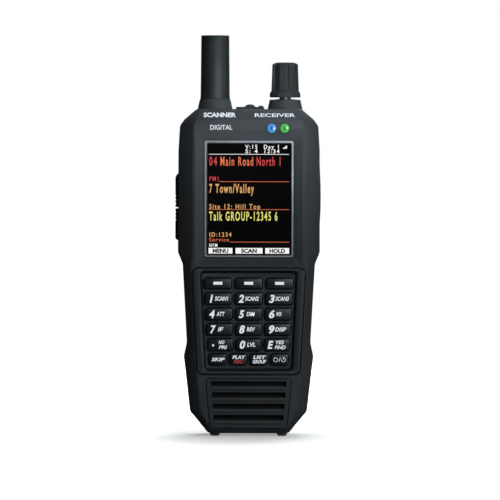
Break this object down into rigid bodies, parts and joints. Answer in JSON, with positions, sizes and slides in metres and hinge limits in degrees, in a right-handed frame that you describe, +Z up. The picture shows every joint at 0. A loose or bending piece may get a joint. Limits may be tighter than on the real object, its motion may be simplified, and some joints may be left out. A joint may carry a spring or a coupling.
{
  "type": "handheld radio scanner",
  "caption": "Handheld radio scanner with a colour display, a keypad, a speaker grille, a stub antenna that unscrews, a rotary push knob and a screwed battery cover.",
  "frame": {"origin": "on the surface the scanner stands on, under the middle of its box", "axes": "+Z up, the display faces -Y, +X to the right as the front is seen"},
  "size_m": [0.0648, 0.0363, 0.1781],
  "materials": {
    "case_plastic": "fine moulded texture",
    "soft_rubber": "matte",
    "lens_glass": "polished",
    "lcd_glass": "lit panel",
    "silver_trim": "silver film",
    "steel": "plain",
    "brass": "turned",
    "board": "solder mask",
    "lamp_blue": "clear lens",
    "lamp_green": "clear lens",
    "battery_wrap": "wrapped pack"
  },
  "bodies": {
    "case": {"antenna_jack": "brass", "battery_pack": "battery_wrap", "case_screw_low_left": "steel", "case_screw_low_right": "steel", "case_screw_top_left": "steel", "case_screw_top_right": "steel", "display_frame": "silver_trim", "display_lens": "lens_glass", "earphone_jack": "case_plastic", "encoder_body": "steel", "front_housing": "case_plastic", "housing_gasket": "soft_rubber", "keypad_bezel": "case_plastic", "keypad_mat": "soft_rubber", "lcd_module": "lcd_glass", "led_lens_alert": "lamp_blue", "led_lens_status": "lamp_green", "main_board": "board", "rear_housing": "case_plastic", "shield_frame": "steel", "speaker_cloth": "soft_rubber", "speaker_driver": "steel", "speaker_grille": "case_plastic", "usb_socket": "steel"},
    "key_0": {"key_0": "soft_rubber"},
    "key_1": {"key_1": "soft_rubber"},
    "key_2": {"key_2": "soft_rubber"},
    "key_3": {"key_3": "soft_rubber"},
    "key_4": {"key_4": "soft_rubber"},
    "key_5": {"key_5": "soft_rubber"},
    "key_6": {"key_6": "soft_rubber"},
    "key_7": {"key_7": "soft_rubber"},
    "key_8": {"key_8": "soft_rubber"},
    "key_9": {"key_9": "soft_rubber"},
    "key_enter": {"key_enter": "soft_rubber"},
    "key_list": {"key_list": "soft_rubber"},
    "key_point": {"key_point": "soft_rubber"},
    "key_power": {"key_power": "soft_rubber"},
    "key_replay": {"key_replay": "soft_rubber"},
    "key_skip": {"key_skip": "soft_rubber"},
    "key_soft_left": {"key_soft_left": "soft_rubber"},
    "key_soft_middle": {"key_soft_middle": "soft_rubber"},
    "key_soft_right": {"key_soft_right": "soft_rubber"},
    "side_key_upper": {"side_key_upper": "soft_rubber"},
    "side_key_lower": {"side_key_lower": "soft_rubber"},
    "knob_push": {"encoder_plunger": "case_plastic"},
    "knob_turn": {"encoder_shaft": "steel", "knob": "soft_rubber"},
    "antenna_lift": {"antenna_pin": "brass"},
    "antenna_turn": {"antenna": "soft_rubber"},
    "jack_cover": {"jack_cover": "soft_rubber"},
    "port_cover": {"port_cover": "soft_rubber"},
    "battery_cover": {"battery_cover": "case_plastic"},
    "cover_screw_left": {"cover_screw_left": "steel"},
    "cover_screw_right": {"cover_screw_right": "steel"}
  },
  "joints": [
    {"name": "key_0_press", "type": "slide", "parent": "case", "child": "key_0", "axis": [0, 1, 0], "range_m": [0, 0.0005], "stiffness_N_per_m": 600, "springref_m": -0.0005},
    {"name": "key_1_press", "type": "slide", "parent": "case", "child": "key_1", "axis": [0, 1, 0], "range_m": [0, 0.0005], "stiffness_N_per_m": 600, "springref_m": -0.0005},
    {"name": "key_2_press", "type": "slide", "parent": "case", "child": "key_2", "axis": [0, 1, 0], "range_m": [0, 0.0005], "stiffness_N_per_m": 600, "springref_m": -0.0005},
    {"name": "key_3_press", "type": "slide", "parent": "case", "child": "key_3", "axis": [0, 1, 0], "range_m": [0, 0.0005], "stiffness_N_per_m": 600, "springref_m": -0.0005},
    {"name": "key_4_press", "type": "slide", "parent": "case", "child": "key_4", "axis": [0, 1, 0], "range_m": [0, 0.0005], "stiffness_N_per_m": 600, "springref_m": -0.0005},
    {"name": "key_5_press", "type": "slide", "parent": "case", "child": "key_5", "axis": [0, 1, 0], "range_m": [0, 0.0005], "stiffness_N_per_m": 600, "springref_m": -0.0005},
    {"name": "key_6_press", "type": "slide", "parent": "case", "child": "key_6", "axis": [0, 1, 0], "range_m": [0, 0.0005], "stiffness_N_per_m": 600, "springref_m": -0.0005},
    {"name": "key_7_press", "type": "slide", "parent": "case", "child": "key_7", "axis": [0, 1, 0], "range_m": [0, 0.0005], "stiffness_N_per_m": 600, "springref_m": -0.0005},
    {"name": "key_8_press", "type": "slide", "parent": "case", "child": "key_8", "axis": [0, 1, 0], "range_m": [0, 0.0005], "stiffness_N_per_m": 600, "springref_m": -0.0005},
    {"name": "key_9_press", "type": "slide", "parent": "case", "child": "key_9", "axis": [0, 1, 0], "range_m": [0, 0.0005], "stiffness_N_per_m": 600, "springref_m": -0.0005},
    {"name": "key_enter_press", "type": "slide", "parent": "case", "child": "key_enter", "axis": [0, 1, 0], "range_m": [0, 0.0005], "stiffness_N_per_m": 600, "springref_m": -0.0005},
    {"name": "key_list_press", "type": "slide", "parent": "case", "child": "key_list", "axis": [0, 1, 0], "range_m": [0, 0.0005], "stiffness_N_per_m": 600, "springref_m": -0.0005},
    {"name": "key_point_press", "type": "slide", "parent": "case", "child": "key_point", "axis": [0, 1, 0], "range_m": [0, 0.0005], "stiffness_N_per_m": 600, "springref_m": -0.0005},
    {"name": "key_power_press", "type": "slide", "parent": "case", "child": "key_power", "axis": [0, 1, 0], "range_m": [0, 0.0005], "stiffness_N_per_m": 600, "springref_m": -0.0005},
    {"name": "key_replay_press", "type": "slide", "parent": "case", "child": "key_replay", "axis": [0, 1, 0], "range_m": [0, 0.0005], "stiffness_N_per_m": 600, "springref_m": -0.0005},
    {"name": "key_skip_press", "type": "slide", "parent": "case", "child": "key_skip", "axis": [0, 1, 0], "range_m": [0, 0.0005], "stiffness_N_per_m": 600, "springref_m": -0.0005},
    {"name": "key_soft_left_press", "type": "slide", "parent": "case", "child": "key_soft_left", "axis": [0, 1, 0], "range_m": [0, 0.0005], "stiffness_N_per_m": 600, "springref_m": -0.0005},
    {"name": "key_soft_middle_press", "type": "slide", "parent": "case", "child": "key_soft_middle", "axis": [0, 1, 0], "range_m": [0, 0.0005], "stiffness_N_per_m": 600, "springref_m": -0.0005},
    {"name": "key_soft_right_press", "type": "slide", "parent": "case", "child": "key_soft_right", "axis": [0, 1, 0], "range_m": [0, 0.0005], "stiffness_N_per_m": 600, "springref_m": -0.0005},
    {"name": "side_key_upper_press", "type": "slide", "parent": "case", "child": "side_key_upper", "axis": [1, 0, 0], "range_m": [0, 0.0005], "stiffness_N_per_m": 600, "springref_m": -0.0005},
    {"name": "side_key_lower_press", "type": "slide", "parent": "case", "child": "side_key_lower", "axis": [1, 0, 0], "range_m": [0, 0.0005], "stiffness_N_per_m": 600, "springref_m": -0.0005},
    {"name": "knob_press", "type": "slide", "parent": "case", "child": "knob_push", "axis": [0, 0, -1], "range_m": [0, 0.0005], "stiffness_N_per_m": 900, "springref_m": -0.0006},
    {"name": "knob_rotate", "type": "hinge", "parent": "knob_push", "child": "knob_turn", "pos_m": [0.016, 0.0013, 0.1505], "axis": [0, 0, 1], "continuous": true},
    {"name": "antenna_rise", "type": "slide", "parent": "case", "child": "antenna_lift", "axis": [0, 0, 1], "range_m": [0, 0.0021]},
    {"name": "antenna_unscrew", "type": "hinge", "parent": "antenna_lift", "child": "antenna_turn", "pos_m": [-0.0152, 0.0013, 0.1498], "axis": [0, 0, 1], "range_deg": [0, 1080]},
    {"name": "jack_cover_lift", "type": "hinge", "parent": "case", "child": "jack_cover", "pos_m": [-0.0059, 0.0013, 0.1455], "axis": [0, -1, 0], "range_deg": [0, 85]},
    {"name": "port_cover_lift", "type": "hinge", "parent": "case", "child": "port_cover", "pos_m": [0.03167, 0.0003, 0.12], "axis": [0, -1, 0], "range_deg": [0, 100]},
    {"name": "battery_cover_off", "type": "slide", "parent": "case", "child": "battery_cover", "axis": [0, 1, 0], "range_m": [0, 0.03]},
    {"name": "cover_screw_left_turn", "type": "hinge", "parent": "battery_cover", "child": "cover_screw_left", "pos_m": [-0.014, 0.018, 0.0166], "axis": [0, 1, 0], "continuous": true},
    {"name": "cover_screw_right_turn", "type": "hinge", "parent": "battery_cover", "child": "cover_screw_right", "pos_m": [0.014, 0.018, 0.0166], "axis": [0, 1, 0], "continuous": true}
  ],
  "couplings": [
    {"joint": "antenna_unscrew", "follows": "antenna_rise", "rad_per_m": 8904.7}
  ]
}
